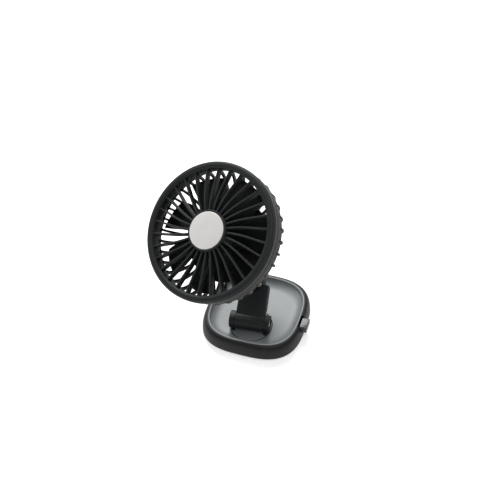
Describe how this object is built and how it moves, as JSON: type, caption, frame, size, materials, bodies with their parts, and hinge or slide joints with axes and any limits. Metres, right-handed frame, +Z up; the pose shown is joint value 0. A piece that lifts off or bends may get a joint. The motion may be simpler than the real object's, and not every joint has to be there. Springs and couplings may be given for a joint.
{
  "type": "desk fan",
  "caption": "Small folding desk fan: a round caged head that swivels and tilts on a flat arm, hinged on a turntable in a dished rounded-square base with a speed button.",
  "frame": {"origin": "on the ground under the middle of the base", "axes": "+Z up, the fan blows towards -Y and upwards as it stands, +X is the side with the speed button"},
  "size_m": [0.1206, 0.1142, 0.1543],
  "materials": {
    "charcoal_plastic": "satin",
    "black_plastic": "satin",
    "shell_plastic": "satin",
    "button_cap": "glossy",
    "pad_rubber": "matte",
    "silver": "satin, fine grain",
    "steel": "zinc plated",
    "nylon": "natural",
    "board": "solder mask",
    "magnet": "sintered ferrite",
    "copper": "enamelled copper windings"
  },
  "bodies": {
    "base": {"base_pad": "pad_rubber", "base_cover": "black_plastic", "base_shell": "shell_plastic", "control_board": "board", "button_switch": "black_plastic", "power_socket": "steel", "cover_screw_1": "steel", "cover_screw_2": "steel", "cover_screw_3": "steel", "cover_screw_4": "steel", "board_screw_1": "steel", "board_screw_2": "steel"},
    "button": {"speed_button": "button_cap"},
    "table": {"turntable": "shell_plastic", "turntable_retainer": "steel", "hinge_screw": "steel", "hinge_nut": "steel", "retainer_screw_1": "steel", "retainer_screw_2": "steel", "retainer_screw_3": "steel"},
    "arm": {"arm_front": "charcoal_plastic", "arm_back": "charcoal_plastic", "hinge_washer_left": "nylon", "hinge_washer_right": "nylon", "arm_screw_1": "steel", "arm_screw_2": "steel"},
    "knuckle": {"swivel_knuckle": "black_plastic", "swivel_clip": "steel"},
    "head": {"head_yoke": "black_plastic", "tilt_screw": "steel", "tilt_nut": "steel", "rear_housing": "black_plastic", "front_grille": "charcoal_plastic", "hub_badge": "silver", "motor_can": "steel", "motor_end_cap": "nylon", "motor_magnet_left": "magnet", "motor_magnet_right": "magnet", "yoke_screw_1": "steel", "yoke_screw_2": "steel", "yoke_screw_3": "steel", "motor_screw_1": "steel", "motor_screw_2": "steel"},
    "rotor": {"impeller": "black_plastic", "motor_shaft": "steel", "motor_armature": "copper"}
  },
  "joints": [
    {"name": "turntable_turn", "type": "hinge", "parent": "base", "child": "table", "pos_m": [0, -0.0152, 0.008], "axis": [0, 0, 1], "range_deg": [-75, 75]},
    {"name": "arm_fold", "type": "hinge", "parent": "table", "child": "arm", "pos_m": [0.00026, -0.01819, 0.0155], "axis": [-0.9962, -0.0872, 0], "range_deg": [-50, 30]},
    {"name": "head_swivel", "type": "hinge", "parent": "arm", "child": "knuckle", "pos_m": [-0.00288, 0.01768, 0.04571], "axis": [-0.0668, 0.7631, 0.6428], "range_deg": [-18.7, 51.3]},
    {"name": "head_tilt", "type": "hinge", "parent": "knuckle", "child": "head", "pos_m": [-0.00355, 0.02539, 0.0522], "axis": [-0.9719, 0.0961, -0.215], "range_deg": [-6.6, 33.4]},
    {"name": "impeller_spin", "type": "hinge", "parent": "head", "child": "rotor", "pos_m": [-0.02099, -0.02192, 0.10988], "axis": [-0.2276, -0.6175, 0.7529], "continuous": true},
    {"name": "button_press", "type": "slide", "parent": "base", "child": "button", "axis": [-1, 0, 0], "range_m": [0, 0.001], "stiffness_N_per_m": 1500, "springref_m": -0.0005}
  ]
}
